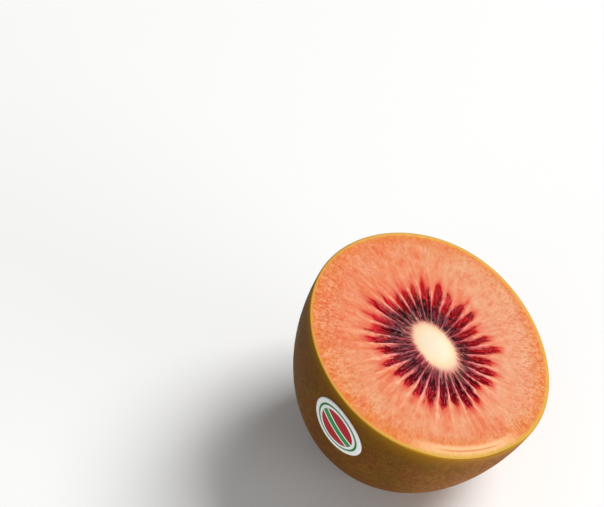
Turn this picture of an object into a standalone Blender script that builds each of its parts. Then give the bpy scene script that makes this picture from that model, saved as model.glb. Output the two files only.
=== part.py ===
"""Half a red-fleshed kiwi fruit, cut across the middle and standing on its skin, with a plain label.

Shapes are worked out in the fruit's own frame. The middle of the cut face is its origin, +Z runs out
of the cut face along the fruit's axis, and +X runs along the widest part of the oval section. An empty
then leans that frame and sets the fruit on its rest spot, whose middle is the world origin.
"""

import math
import random

import bmesh
import bpy
from mathutils import Matrix, Vector

# The half fruit, metres
LONG_RADIUS = 0.0250         # middle of the cut face to the rim, at the widest
SHORT_RADIUS = 0.0230        # and at the narrowest
HALF_DEPTH = 0.0306          # cut face to the blossom end
SHAPE_POWER = 2.05           # 2 would be an ellipsoid, and more gives fuller shoulders
SECTION_LOBES = (            # slight corners of the section: how many, share of the radius, where
    (3, 0.0050, math.radians(5)),
    (4, 0.0065, math.radians(-13)),
)
LOBES_FADE = 0.015           # the section is a plain oval from this far below the cut face
EDGE_ROUND = 0.0006          # the cut edge, where the skin turns over
EDGE_TURNS = (math.radians(40), math.radians(80))
SKIN_RINGS = 12
SKIN_STARTS = 0.93           # faces further out than this share of the way to the skin are skin

# The blossom end, a shallow dimple round a small woody nub
DIMPLE_RADIUS = 0.0036
DIMPLE_DEPTH = 0.0010
NUB_RADIUS = 0.0012
NUB_HEIGHT = 0.0008

# The pale core, an oval that sits a little off the middle
CORE_CENTRE = Vector((-0.0009, -0.0008, 0))
CORE_LONG_RADIUS = 0.0054
CORE_SHORT_RADIUS = 0.0041
CORE_TURN = math.radians(47)
CORE_RISE = 0.0004
CORE_RINGS = (0, 0.3, 0.6, 0.85)

# The seed chambers, sunk rays that reach part of the way from the core to the rim
CHAMBERS = 30
CHAMBER_DEPTH = 0.0006
CHAMBER_WIDTH = 0.60         # share of the room between two walls
CHAMBER_REACH = (0.45, 0.58) # share of the way from the core to the rim, shortest and longest
CHAMBER_MOUTH = 0.10         # share of its length over which a chamber sinks, next to the core
CHAMBER_TIP = 0.24           # and over which it rises again at its tip
TIP_NARROWING = 0.65         # share of its width that a chamber loses towards its tip
WALL_WANDER = 0.14           # how far a wall strays, as a share of the room
WALL_CALM = 0.6              # from here to the rim the walls' straying dies away
FLESH_RINGS = (0, 0.05, 0.13, 0.22, 0.31, 0.40, 0.48, 0.56, 0.78, 1)
PULP_EDGE = 0.35             # share of the depth where the chamber's red pulp begins

# The seeds, two in each chamber, half sunk in the pulp
SEED_SIZE = Vector((0.0021, 0.0013, 0.0013))
SEED_REACHES = (0.065, 0.19) # share of the way from the core to the rim
SEED_STAGGER = 0.065         # every second chamber's seeds lie this much further out
SEED_WANDER = 0.012
SEED_TURN = math.radians(14) # off the ray, to either side
SEED_DIP = math.radians(4)   # nose up or down
SEED_FACETS = (6, 4)

# The label, a thin oval that lies on the skin just below the rim
LABEL_ANGLE = math.radians(152.4)
LABEL_DEPTH = 0.0063         # below the cut face
LABEL_TURN = math.radians(23)
LABEL_LONG_RADIUS = 0.0064
LABEL_SHORT_RADIUS = 0.0053
LABEL_THICKNESS = 0.0004
LABEL_GAP = 0.0003
LABEL_FACETS = 32
LABEL_RINGS = 3

# How the fruit stands
LEAN = math.radians(24.4)    # its axis leans this far towards +X
OVAL_TURN = math.radians(79)
REST_SPOT_DEPTH = 0.0005     # how much of the roundness the flat spot takes

STEPS = 3 * CHAMBERS         # one wall and two floor corners for each chamber
FACE_REACH = LONG_RADIUS - EDGE_ROUND
TURNED_CORE = LONG_RADIUS / 2  # the core's edge while the half is still plainly turned
SHARP_ANGLE = math.radians(35)
MERGE = 0.00001
DRAWS = 11                   # the seed of every random draw


def clear_scene():
    for thing in list(bpy.data.objects):
        bpy.data.objects.remove(thing)


def new_collection(name):
    collection = bpy.data.collections.new(name)
    bpy.context.scene.collection.children.link(collection)
    return collection


def new_material(name, colour, roughness):
    """A Principled material with no metal in it. The colour is linear."""
    material = bpy.data.materials.new(name)
    material.use_nodes = True
    shader = material.node_tree.nodes["Principled BSDF"]
    shader.inputs["Base Color"].default_value = (*colour, 1)
    shader.inputs["Roughness"].default_value = roughness
    shader.inputs["Metallic"].default_value = 0
    material.diffuse_color = (*colour, 1)
    return material


def add_object(name, mesh, collection):
    thing = bpy.data.objects.new(name, mesh)
    collection.objects.link(thing)
    return thing


def applied_mesh(thing):
    """The object's mesh with its modifiers applied."""
    graph = bpy.context.evaluated_depsgraph_get()
    return bpy.data.meshes.new_from_object(thing.evaluated_get(graph))


def turned_mesh(name, profile, steps, collection):
    """Turns a profile of (radius, height) points round +Z. Both of its ends may be on the axis."""
    outline = bpy.data.meshes.new(name + "_profile")
    points = [(radius, 0, height) for radius, height in profile]
    outline.from_pydata(points, [(i, i + 1) for i in range(len(points) - 1)], [])
    lathe = add_object(name + "_lathe", outline, collection)
    screw = lathe.modifiers.new("turn", "SCREW")
    screw.angle = math.tau
    screw.steps = steps
    screw.render_steps = steps
    screw.use_merge_vertices = True
    screw.merge_threshold = MERGE
    mesh = applied_mesh(lathe)
    bpy.data.objects.remove(lathe)
    return mesh


def smooth_step(low, high, value):
    share = min(max((value - low) / (high - low), 0), 1)
    return share * share * (3 - 2 * share)


def bump(radius, reach):
    """1 on the axis and 0 from the reach outwards, with a soft flank."""
    return 1 - smooth_step(0, reach, radius)


def section_swell(angle, height):
    """How far the section's slight corners stand out from a plain oval. They die away below the cut."""
    lobes = sum(size * math.cos(count * (angle - where)) for count, size, where in SECTION_LOBES)
    return 1 + lobes * max(1 + height / LOBES_FADE, 0)


def section_point(radius, angle, height):
    """A point of the oval section, from the radius that it has along the widest part."""
    reach = radius * section_swell(angle, height)
    return Vector((reach * math.cos(angle), reach * math.sin(angle) * SHORT_RADIUS / LONG_RADIUS, height))


def core_point(share, angle):
    """A point in the core, where a share of 1 is the core's edge."""
    across = Vector((CORE_LONG_RADIUS * math.cos(angle - CORE_TURN),
                     CORE_SHORT_RADIUS * math.sin(angle - CORE_TURN), 0))
    return CORE_CENTRE + share * (Matrix.Rotation(CORE_TURN, 3, "Z") @ across)


def face_point(share, angle):
    """A point on the cut face, from the core's edge at 0 to the start of the rounded rim at 1."""
    rim = section_point(FACE_REACH, angle, 0)
    return core_point(1, angle).lerp(rim, share)


class Chambers:
    """Where the walls between the seed chambers stand, and how far each chamber reaches."""

    def __init__(self, draw):
        room = math.tau / CHAMBERS
        self.walls = [(i + draw.uniform(-WALL_WANDER, WALL_WANDER)) * room for i in range(CHAMBERS)]
        self.reaches = [draw.uniform(*CHAMBER_REACH) for _ in range(CHAMBERS)]

    def sides(self, index):
        """The angles of the two walls of a chamber."""
        start = self.walls[index]
        end = self.walls[(index + 1) % CHAMBERS]
        return start, end + (math.tau if end < start else 0)

    def middle(self, index):
        return sum(self.sides(index)) / 2

    def floor_depth(self, index, share):
        """How deep the chamber's floor lies, from the core's edge at 0 to the rim at 1."""
        along = share / self.reaches[index]
        sunk = smooth_step(0, CHAMBER_MOUTH, along)
        risen = smooth_step(1 - CHAMBER_TIP, 1, along)
        return CHAMBER_DEPTH * sunk * (1 - risen)

    def corner(self, index, side, share):
        """The angle of a corner of the chamber's floor. The floor narrows towards its tip."""
        start, end = self.sides(index)
        along = min(share / self.reaches[index], 1)
        narrow = 1 - TIP_NARROWING * along ** 3
        return (start + end) / 2 + side * narrow * CHAMBER_WIDTH * (end - start) / 2


def core_profile():
    """The core's crown, as (radius, height) points."""
    return [(TURNED_CORE * share, CORE_RISE * bump(share, 1)) for share in CORE_RINGS]


def flesh_profile():
    """The flat of the cut face, from the core to the rim."""
    return [(TURNED_CORE + (FACE_REACH - TURNED_CORE) * share, 0) for share in FLESH_RINGS]


def skin_depth(radius):
    """How far below the cut face the skin lies at a radius, with the blossom end's dimple and nub."""
    share = min(radius / LONG_RADIUS, 1)
    depth = HALF_DEPTH * (1 - share ** SHAPE_POWER) ** (1 / SHAPE_POWER)
    return depth - DIMPLE_DEPTH * bump(radius, DIMPLE_RADIUS) + NUB_HEIGHT * bump(radius, NUB_RADIUS)


def skin_profile():
    """The rounded cut edge and the skin below it, as (radius, height) points down to the axis."""
    edge = [(FACE_REACH + EDGE_ROUND * math.sin(turn), EDGE_ROUND * (math.cos(turn) - 1))
            for turn in EDGE_TURNS]
    turns = [math.pi / 2 * (ring + 1) / (SKIN_RINGS + 1) for ring in range(SKIN_RINGS)]
    side = [LONG_RADIUS * math.cos(turn) ** (2 / SHAPE_POWER) for turn in turns]
    end = [DIMPLE_RADIUS, DIMPLE_RADIUS / 2, NUB_RADIUS, NUB_RADIUS / 2, 0]
    radii = [radius for radius in side if radius > DIMPLE_RADIUS + NUB_RADIUS] + end
    return edge + [(radius, -skin_depth(radius)) for radius in radii]


def skin_scale(point):
    """1 on the plain skin and less inside it, in proportion along every ray from the middle."""
    oval = math.hypot(point.x / LONG_RADIUS, point.y / SHORT_RADIUS)
    return (oval ** SHAPE_POWER + abs(point.z / HALF_DEPTH) ** SHAPE_POWER) ** (1 / SHAPE_POWER)


def shape_half(mesh, chambers):
    """Gives the plainly turned half its oval section, its off-centre core and its sunken rays."""
    for vertex in mesh.vertices:
        radius = math.hypot(vertex.co.x, vertex.co.y)
        angle = math.atan2(vertex.co.y, vertex.co.x)
        if vertex.co.z < 0:
            vertex.co = section_point(radius, angle, vertex.co.z)
            continue
        if radius < TURNED_CORE - MERGE:
            vertex.co = core_point(radius / TURNED_CORE, angle) + Vector((0, 0, vertex.co.z))
            continue
        share = (radius - TURNED_CORE) / (FACE_REACH - TURNED_CORE)
        step = round(angle / math.tau * STEPS) % STEPS
        index, place = divmod(step, 3)
        depth = 0
        if place == 0:
            wanted = chambers.walls[index]
        else:
            wanted = chambers.corner(index, 2 * place - 3, share)
            depth = chambers.floor_depth(index, share)
        stray = math.remainder(wanted - angle, math.tau) * (1 - smooth_step(WALL_CALM, 1, share))
        vertex.co = face_point(share, angle + stray) - Vector((0, 0, depth))


def paint_half(mesh, materials):
    """Gives each face of the half the colour of what it shows: skin, flesh, core or pulp."""
    for slot in materials:
        mesh.materials.append(slot)
    skin, flesh, core, pulp = range(len(materials))
    for face in mesh.polygons:
        across = Matrix.Rotation(-CORE_TURN, 3, "Z") @ (face.center - CORE_CENTRE)
        in_core = math.hypot(across.x / CORE_LONG_RADIUS, across.y / CORE_SHORT_RADIUS) < 1
        if skin_scale(face.center) > SKIN_STARTS:
            face.material_index = skin
        elif in_core:
            face.material_index = core
        elif face.center.z < -PULP_EDGE * CHAMBER_DEPTH:
            face.material_index = pulp
        else:
            face.material_index = flesh


def seed_mesh(material):
    mesh = bpy.data.meshes.new("seed")
    shape = bmesh.new()
    bmesh.ops.create_uvsphere(shape, u_segments=SEED_FACETS[0], v_segments=SEED_FACETS[1], radius=0.5)
    shape.to_mesh(mesh)
    shape.free()
    mesh.materials.append(material)
    return mesh


def scatter_seeds(chambers, draw, material, collection):
    """Lays the seeds along the chambers' floors, each turned a little off the ray."""
    mesh = seed_mesh(material)
    for index in range(CHAMBERS):
        for reach in SEED_REACHES:
            share = reach + index % 2 * SEED_STAGGER + draw.uniform(-SEED_WANDER, SEED_WANDER)
            angle = chambers.middle(index)
            place = face_point(share, angle)
            place.z = -chambers.floor_depth(index, share)
            along = face_point(share + SEED_WANDER, angle) - face_point(share, angle)
            turn = math.atan2(along.y, along.x) + draw.uniform(-SEED_TURN, SEED_TURN)
            dip = math.pi / 2 + draw.uniform(-SEED_DIP, SEED_DIP)
            roll = draw.uniform(0, math.pi)
            seed = add_object(f"seed_{index}_{reach}", mesh, collection)
            seed.matrix_world = (Matrix.Translation(place) @ Matrix.Rotation(turn, 4, "Z")
                                 @ Matrix.Rotation(dip, 4, "Y") @ Matrix.Rotation(roll, 4, "Z")
                                 @ Matrix.Diagonal((SEED_SIZE.z, SEED_SIZE.y, SEED_SIZE.x, 1)))


def fuse(thing, collection):
    """Joins a collection's objects to the thing in one union, applies it and removes them."""
    union = thing.modifiers.new("grow_together", "BOOLEAN")
    union.operation = "UNION"
    union.operand_type = "COLLECTION"
    union.collection = collection
    union.solver = "EXACT"
    union.material_mode = "TRANSFER"
    joined = applied_mesh(thing)
    thing.modifiers.remove(union)
    thing.data = joined
    for part in list(collection.objects):
        bpy.data.objects.remove(part)
    bpy.data.collections.remove(collection)


def kiwi_half(collection, stand):
    """The half fruit in one piece: skin, flesh, core, seed chambers and seeds."""
    draw = random.Random(DRAWS)
    chambers = Chambers(draw)
    profile = core_profile() + flesh_profile() + skin_profile()
    mesh = turned_mesh("kiwi_half", profile, STEPS, collection)
    shape_half(mesh, chambers)
    paint_half(mesh, (
        new_material("smooth_olive_skin", (0.120, 0.066, 0.014), 0.62),
        new_material("salmon_flesh", (0.880, 0.285, 0.130), 0.35),
        new_material("cream_core", (0.965, 0.820, 0.600), 0.45),
        new_material("wine_red_pulp", (0.190, 0.012, 0.022), 0.25),
    ))
    half = add_object("kiwi_half", mesh, collection)

    seeds = new_collection("seeds")
    scatter_seeds(chambers, draw, new_material("black_seed", (0.012, 0.008, 0.009), 0.25), seeds)
    bpy.context.view_layer.update()
    fuse(half, seeds)
    half.data.shade_smooth()
    half.data.set_sharp_from_angle(angle=SHARP_ANGLE)
    half.parent = stand
    return half


def onto_skin(point, gap):
    """Moves a point along its ray from the middle, to the skin and a gap beyond it."""
    angle = math.atan2(point.y / SHORT_RADIUS, point.x / LONG_RADIUS)
    landed = point / skin_scale(point)
    landed.xy *= section_swell(angle, landed.z)
    return landed + landed.normalized() * gap


def skin_normal(point):
    """The direction that a point of the skin faces."""
    oval = math.hypot(point.x / LONG_RADIUS, point.y / SHORT_RADIUS)
    side = oval ** (SHAPE_POWER - 2)
    end = abs(point.z / HALF_DEPTH) ** (SHAPE_POWER - 2)
    return Vector((side * point.x / LONG_RADIUS ** 2,
                   side * point.y / SHORT_RADIUS ** 2,
                   end * point.z / HALF_DEPTH ** 2)).normalized()


def fruit_label(collection, stand):
    """A thin oval label that follows the skin just below the rim."""
    profile = [(ring / LABEL_RINGS, 0) for ring in range(LABEL_RINGS + 1)]
    mesh = turned_mesh("fruit_label", profile, LABEL_FACETS, collection)
    radius = LONG_RADIUS * (1 - (LABEL_DEPTH / HALF_DEPTH) ** SHAPE_POWER) ** (1 / SHAPE_POWER)
    middle = section_point(radius, LABEL_ANGLE, -LABEL_DEPTH)
    outward = skin_normal(middle)
    around = Vector((0, 0, 1)).cross(outward).normalized()
    down = around.cross(outward)
    long_way = math.cos(LABEL_TURN) * around + math.sin(LABEL_TURN) * down
    short_way = outward.cross(long_way)
    for vertex in mesh.vertices:
        flat = (long_way * vertex.co.x * LABEL_LONG_RADIUS
                + short_way * vertex.co.y * LABEL_SHORT_RADIUS)
        vertex.co = onto_skin(middle + flat, LABEL_GAP)
    mesh.materials.append(new_material("coated_label_paper", (0.85, 0.84, 0.82), 0.35))
    mesh.shade_smooth()
    label = add_object("fruit_label", mesh, collection)
    paper = label.modifiers.new("paper", "SOLIDIFY")
    paper.thickness = LABEL_THICKNESS
    paper.offset = 1
    label.parent = stand


def lowest_point():
    """The point of the plain skin that faces straight down once the fruit leans, in its own frame."""
    turned = Matrix.Rotation(LEAN, 3, "Y") @ Matrix.Rotation(OVAL_TURN, 3, "Z")
    down = turned.transposed() @ Vector((0, 0, -1))
    dual = SHAPE_POWER / (SHAPE_POWER - 1)
    across = math.hypot(LONG_RADIUS * down.x, SHORT_RADIUS * down.y)
    along = HALF_DEPTH * -down.z
    support = (across ** dual + along ** dual) ** (1 / dual)
    radius = (across / support) ** (dual - 1)
    return Vector((radius * LONG_RADIUS ** 2 * down.x / across,
                   radius * SHORT_RADIUS ** 2 * down.y / across,
                   -HALF_DEPTH * (along / support) ** (dual - 1)))


def leaning_stand(collection):
    """An empty that holds the fruit's frame: leaning, with the rest spot's middle at the world origin."""
    stand = add_object("fruit_frame", None, collection)
    stand.rotation_mode = "ZYX"
    stand.rotation_euler = (0, LEAN, OVAL_TURN)
    turned = Matrix.Rotation(LEAN, 3, "Y") @ Matrix.Rotation(OVAL_TURN, 3, "Z")
    stand.location = -(turned @ lowest_point()) - Vector((0, 0, REST_SPOT_DEPTH))
    return stand


def cut_rest_spot(half, collection):
    """Takes the small flat spot off the skin, level with the surface that the fruit stands on."""
    side = 2 * LONG_RADIUS
    mesh = bpy.data.meshes.new("rest_spot_cutter")
    shape = bmesh.new()
    bmesh.ops.create_cube(shape, size=side)
    shape.to_mesh(mesh)
    shape.free()
    cutter = add_object("rest_spot_cutter", mesh, collection)
    cutter.location = (0, 0, -side / 2)
    cutter.hide_render = True
    cutter.display_type = "WIRE"
    cut = half.modifiers.new("rest_spot", "BOOLEAN")
    cut.operation = "DIFFERENCE"
    cut.object = cutter
    cut.solver = "EXACT"


clear_scene()
fruit = new_collection("kiwi_fruit")
cutters = new_collection("cutters")
fruit_frame = leaning_stand(fruit)
cut_rest_spot(kiwi_half(fruit, fruit_frame), cutters)
fruit_label(fruit, fruit_frame)
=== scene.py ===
"""How half a red-fleshed kiwi fruit looks: wet cut flesh, seeds, smooth skin, blossom end and paper label.

Each piece is worked out in the fruit's own frame, as the part is: the middle of the cut face is its origin,
+Z runs out of the cut face, and +X along the widest part of the oval. Its mesh is then turned to the way the
fruit stands.
"""

import math
import random
from functools import partial

import bmesh
import bpy
from mathutils import Matrix, Vector


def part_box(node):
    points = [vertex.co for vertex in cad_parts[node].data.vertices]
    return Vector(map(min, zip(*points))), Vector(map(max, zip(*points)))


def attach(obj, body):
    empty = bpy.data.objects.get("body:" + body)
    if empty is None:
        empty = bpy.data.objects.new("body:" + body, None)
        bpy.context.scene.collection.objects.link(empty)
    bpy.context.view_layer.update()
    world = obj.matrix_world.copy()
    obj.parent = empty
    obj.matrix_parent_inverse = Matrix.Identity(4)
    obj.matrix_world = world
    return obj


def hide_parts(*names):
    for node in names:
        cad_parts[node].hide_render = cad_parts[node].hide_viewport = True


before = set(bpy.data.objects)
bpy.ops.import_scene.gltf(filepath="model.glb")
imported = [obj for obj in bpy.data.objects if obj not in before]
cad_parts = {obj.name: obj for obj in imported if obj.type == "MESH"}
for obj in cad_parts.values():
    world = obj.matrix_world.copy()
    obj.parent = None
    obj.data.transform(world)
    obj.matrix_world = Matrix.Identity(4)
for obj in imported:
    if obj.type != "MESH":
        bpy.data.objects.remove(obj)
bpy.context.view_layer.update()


# The half fruit is one grown body: a berry, cut clean across the middle with a knife. Under the skin lies the
# outer flesh, then a ring of seed chambers with thin walls between them, then a firm pale core. Juice wets
# the cut. A share is of the way from the core's edge to the rim, and a side is an angle round the core.
LONG_RADIUS = 0.0250
SHORT_RADIUS = 0.0230
HALF_DEPTH = 0.0306
FULLNESS = 2.05                  # 2 would be an ellipsoid, and more gives fuller shoulders
SECTION_LOBES = (                # slight corners of the section: how many, share of the radius, where
    (3, 0.0050, math.radians(5)),
    (4, 0.0065, math.radians(-13)),
)
LOBES_FADE = 0.015               # how far below the cut the corners are gone
EDGE_ROUND = 0.00036
DIMPLE_RADIUS = 0.0036           # the dimple at the blossom end, and the woody nub in its middle
DIMPLE_DEPTH = 0.0010
NUB_RADIUS = 0.0012
NUB_HEIGHT = 0.0008

CORE_CENTRE = Vector((-0.0009, -0.0008, 0))
CORE_LONG_RADIUS = 0.0054
CORE_SHORT_RADIUS = 0.0041
CORE_TURN = math.radians(47)
CORE_RISE = 0.0004

CHAMBERS = 30
CHAMBER_DEPTH = 0.0005
CHAMBER_WIDTH = 0.60             # how much of the room between two walls the floor of a chamber takes
CHAMBER_FLANK = 0.75             # how much of the rest its rounded flanks take
CHAMBER_REACH = (0.45, 0.58)     # the shares at which the chambers end
CHAMBER_MOUTH = 0.10             # how much of its length a chamber takes to deepen, and to rise to its tip
CHAMBER_TIP = 0.42
TIP_NARROWING = 0.65
RIPE_SIDE = math.radians(-174)   # the side whose chambers are widest and darkest
SHORT_SIDE = math.radians(-79)   # the side whose chambers end soonest, and by how much
SHORTENED = 0.14
EVEN_SIDE = math.radians(66)     # the side whose chambers all end a little sooner, and by how much
EVENED = 0.09
TONE_SHORTENS = (1.09, 0.17)     # what a chamber's length is divided by, and what its own tone adds to that
WALL_WANDER = 0.14               # how far a wall may stand from its even place, in chambers
WALL_CALM = 0.6                  # the share from which the walls' straying fades out
WALL_BEND = 0.08                 # how far a wall sways on its way out, in chambers
WALL_BEND_LENGTH = 0.0045
LUMP_SIZE = 0.0007               # lumps of pulp on the floors of the chambers
LUMP_HEIGHT = 0.00012
WAVE_SIZE = 0.0045               # slow waves of the whole cut face
WAVE_HEIGHT = 0.00005
RELIEF_END = 0.96                # the share from which the waves fade out

LIP_SIDE = math.radians(209)     # where the knife pressed the rim down as it left the fruit
LIP_SPREAD = math.radians(34)
LIP_SHARE = 0.886
LIP_DROP = 0.00042
CREASE_SHARE = 0.924
CREASE_HALF_WIDTH = 0.012
CREASE_DEPTH = 0.00010

LEAN = math.radians(24.4)
OVAL_TURN = math.radians(79)

STEPS_A_CHAMBER = 16
STEPS = STEPS_A_CHAMBER * CHAMBERS
CORE_RINGS = 14
FLESH_RINGS = 104
EDGE_RINGS = 6
SKIN_RINGS = 66
RINGS = CORE_RINGS + FLESH_RINGS + EDGE_RINGS + SKIN_RINGS
END_CROWDING = 1.35              # the skin's rings lie closer together towards the blossom end
DRAWS = 11                       # the seed of the random draws that the part makes too
TONE_DRAWS = 3
WELD = 0.00001
PAST_EDGE = 0.9999               # the share of the rounded edge from which a place is on the skin

MATH = "ShaderNodeMath"
VECTOR = "ShaderNodeVectorMath"
ROTATE = "ShaderNodeVectorRotate"
COMBINE = "ShaderNodeCombineXYZ"
SEPARATE = "ShaderNodeSeparateXYZ"
MIX = "ShaderNodeMix"
RANGE = "ShaderNodeMapRange"
NOISE = "ShaderNodeTexNoise"
RAMP = "ShaderNodeValToRGB"
NAMED = "GeometryNodeInputNamedAttribute"
GROUP = "GeometryNodeGroup"
TIMES = {"operation": "MULTIPLY"}
SMOOTH = {"interpolation_type": "SMOOTHSTEP"}


def linear(colour):
    """The linear RGBA of an sRGB hex colour such as feedd6."""
    parts = [int(colour[i:i + 2], 16) / 255 for i in (0, 2, 4)]
    return (*[part / 12.92 if part <= 0.04045 else ((part + 0.055) / 1.055) ** 2.4 for part in parts], 1)


def add_node(tree, kind, *sources, out=0, stops=(), **settings):
    """Adds a node with its settings, and returns one of its outputs if it has any.

    The sources go to its inputs in their order, or by name where they are one dictionary. Each is a value, a
    hex colour or another node's output. The stops are a colour ramp's places and hex colours.
    """
    node = tree.nodes.new(kind)
    for name, value in settings.items():
        setattr(node, name, value)
    if stops:
        elements = node.color_ramp.elements
        elements.remove(elements[1])
        for number, (place, colour) in enumerate(stops):
            element = elements.new(place) if number else elements[0]
            element.position = place
            element.color = linear(colour)
    if sources and isinstance(sources[0], dict):
        pairs = [(node.inputs[name], source) for name, source in sources[0].items()]
    else:
        pairs = zip([socket for socket in node.inputs if socket.enabled], sources)
    for socket, source in pairs:
        if isinstance(source, bpy.types.NodeSocket):
            tree.links.new(source, socket)
        else:
            socket.default_value = linear(source) if socket.type == "RGBA" else source
    if isinstance(out, str):
        return node.outputs[out]
    outputs = [socket for socket in node.outputs if socket.enabled]
    return outputs[out] if outputs else None


def new_rule(name, sizes, result="NodeSocketGeometry"):
    """A Geometry Nodes tree with a named input for each size, and one result.

    Returns the tree, the function that adds a node to it, and its inputs by their names.
    """
    kinds = {float: "NodeSocketFloat", Vector: "NodeSocketVector", bpy.types.Material: "NodeSocketMaterial",
             type(None): "NodeSocketGeometry"}
    tree = bpy.data.node_groups.new(name, "GeometryNodeTree")
    for label, size in sizes.items():
        socket = tree.interface.new_socket(label, in_out="INPUT", socket_type=kinds[type(size)])
        if isinstance(size, (float, Vector)):
            socket.default_value = size
    tree.interface.new_socket("Result", in_out="OUTPUT", socket_type=result)
    return tree, partial(add_node, tree), tree.nodes.new("NodeGroupInput").outputs


def marked_points(name, points, marks):
    """A mesh of loose points, with a number on each for every kind of mark."""
    mesh = bpy.data.meshes.new(name)
    mesh.from_pydata(points, [], [])
    for label, values in marks.items():
        mesh.attributes.new(label, "FLOAT", "POINT").data.foreach_set("value", values)
    return mesh


def grow(name, start, tree, sizes):
    """Runs a rule on a starting mesh, and returns an object that holds the result as a plain mesh."""
    piece = bpy.data.objects.new(name, start)
    bpy.context.scene.collection.objects.link(piece)
    rule = piece.modifiers.new("rule", "NODES")
    rule.node_group = tree
    for socket in tree.interface.items_tree:
        if socket.name in sizes:
            rule[socket.identifier] = sizes[socket.name]
    graph = bpy.context.evaluated_depsgraph_get()
    grown = bpy.data.meshes.new_from_object(piece.evaluated_get(graph), depsgraph=graph)
    piece.modifiers.remove(rule)
    piece.data = grown
    grown.name = name
    return piece


# The oval section's rule: a point of the outline, from the radius that it has along the widest part.
section_rule, node, given = new_rule("oval_section", {
    "Angle": 0.0, "Radius": LONG_RADIUS, "Height": 0.0, "Flatness": SHORT_RADIUS / LONG_RADIUS,
}, "NodeSocketVector")
lobes = 0.0
for count, size, where in SECTION_LOBES:
    turned = node(MATH, given["Angle"], count, -count * where, operation="MULTIPLY_ADD")
    lobes = node(MATH, node(MATH, turned, operation="COSINE"), size, lobes, operation="MULTIPLY_ADD")
fade = node(MATH, given["Height"], 1 / LOBES_FADE, 1.0, operation="MULTIPLY_ADD", use_clamp=True)
swell = node(MATH, lobes, fade, 1.0, operation="MULTIPLY_ADD")
reach = node(COMBINE, node(MATH, given["Radius"], swell, **TIMES))
turned = node(ROTATE, {"Vector": reach, "Angle": given["Angle"]}, rotation_type="Z_AXIS")
flattened = node(COMBINE, 1.0, given["Flatness"], 0.0)
raised = node(COMBINE, 0.0, 0.0, given["Height"])
node("NodeGroupOutput", {"Result": node(VECTOR, turned, flattened, raised, operation="MULTIPLY_ADD")})

# The cut face's rule: a place between the core's middle and edge, by Core Share, and then the rim, by Share.
face_rule, node, given = new_rule("face_place", {
    "Angle": 0.0, "Core Share": 1.0, "Share": 0.0, "Radius": LONG_RADIUS - EDGE_ROUND,
}, "NodeSocketVector")
from_turn = node(MATH, given["Angle"], CORE_TURN, operation="SUBTRACT")
unit = node(ROTATE, {"Vector": (1, 0, 0), "Angle": from_turn}, rotation_type="Z_AXIS")
oval = node(VECTOR, unit, (CORE_LONG_RADIUS, CORE_SHORT_RADIUS, 0), **TIMES)
edge = node(ROTATE, {"Vector": oval, "Angle": CORE_TURN}, rotation_type="Z_AXIS")
scaled = node(VECTOR, {0: edge, "Scale": given["Core Share"]}, operation="SCALE")
in_core = node(VECTOR, scaled, CORE_CENTRE, operation="ADD")
rim = node(GROUP, given["Angle"], given["Radius"], node_tree=section_rule)
node("NodeGroupOutput", {"Result": node(MIX, given["Share"], in_core, rim, data_type="VECTOR")})

# The body's rule: one grid, wrapped from the core's middle over the cut face and down to the blossom end.
flesh = bpy.data.materials.new("cut_kiwi_flesh")
skin = bpy.data.materials.new("smooth_kiwi_skin")
body_rule, node, given = new_rule("kiwi_body", {
    "Chamber Marks": None, "Long Radius": LONG_RADIUS, "Half Depth": HALF_DEPTH, "Fullness": FULLNESS,
    "Edge Round": EDGE_ROUND, "Core Rise": CORE_RISE, "Chamber Depth": CHAMBER_DEPTH,
    "Chamber Width": CHAMBER_WIDTH, "Flesh": flesh, "Skin": skin,
})
grid = node("GeometryNodeMeshGrid", 1.0, 1.0, STEPS + 1, RINGS + 1)
place = node("GeometryNodeInputPosition")
along_grid = node(SEPARATE, place, out="X")
over_grid = node(SEPARATE, place, out="Y")
step = node(MATH, node(MATH, along_grid, STEPS, STEPS / 2, operation="MULTIPLY_ADD"), operation="ROUND")
ring = node(MATH, node(MATH, over_grid, RINGS, RINGS / 2, operation="MULTIPLY_ADD"), operation="ROUND")

core_share = node(MATH, ring, CORE_RINGS, operation="DIVIDE", use_clamp=True)
past_core = node(MATH, ring, CORE_RINGS, operation="SUBTRACT")
share = node(MATH, past_core, FLESH_RINGS, operation="DIVIDE", use_clamp=True)
past_flesh = node(MATH, past_core, FLESH_RINGS, operation="SUBTRACT")
edge_share = node(MATH, past_flesh, EDGE_RINGS, operation="DIVIDE", use_clamp=True)
past_edge = node(MATH, past_flesh, EDGE_RINGS, operation="SUBTRACT")
skin_share = node(MATH, past_edge, SKIN_RINGS, operation="DIVIDE", use_clamp=True)
on_face = node(MATH, core_share, share, operation="ADD")
below = node(MATH, edge_share, skin_share, operation="ADD")
way_out = node(MATH, node(MATH, on_face, below, operation="ADD"), 1.0, operation="SUBTRACT")

chamber_place = node(MATH, step, STEPS_A_CHAMBER, operation="DIVIDE")
chamber = node(MATH, chamber_place, operation="FLOOR")
within = node(MATH, chamber_place, operation="FRACT")
here = node(MATH, chamber, CHAMBERS, operation="MODULO")
after = node(MATH, node(MATH, chamber, 1.0, operation="ADD"), CHAMBERS, operation="MODULO")
stray_here, stray_after, chamber_reach, chamber_tone = [
    node("GeometryNodeSampleIndex", given["Chamber Marks"], node(NAMED, label), index)
    for label, index in (("stray", here), ("stray", after), ("reach", here), ("tone", here))
]
strayed = node(MIX, within, stray_here, stray_after)
plain_angle = node(MATH, step, math.tau / STEPS, **TIMES)
plain_place = node(GROUP, plain_angle, core_share, share, node_tree=face_rule)
bends = node(NOISE, {"Vector": plain_place, "Scale": 1 / WALL_BEND_LENGTH, "Detail": 1.0})
bent = node(RANGE, bends, 0.25, 0.75, -WALL_BEND, WALL_BEND)
strayed = node(MATH, strayed, bent, operation="ADD")
calm = node(RANGE, share, WALL_CALM, 1.0, STEPS_A_CHAMBER, 0.0, **SMOOTH)
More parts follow.
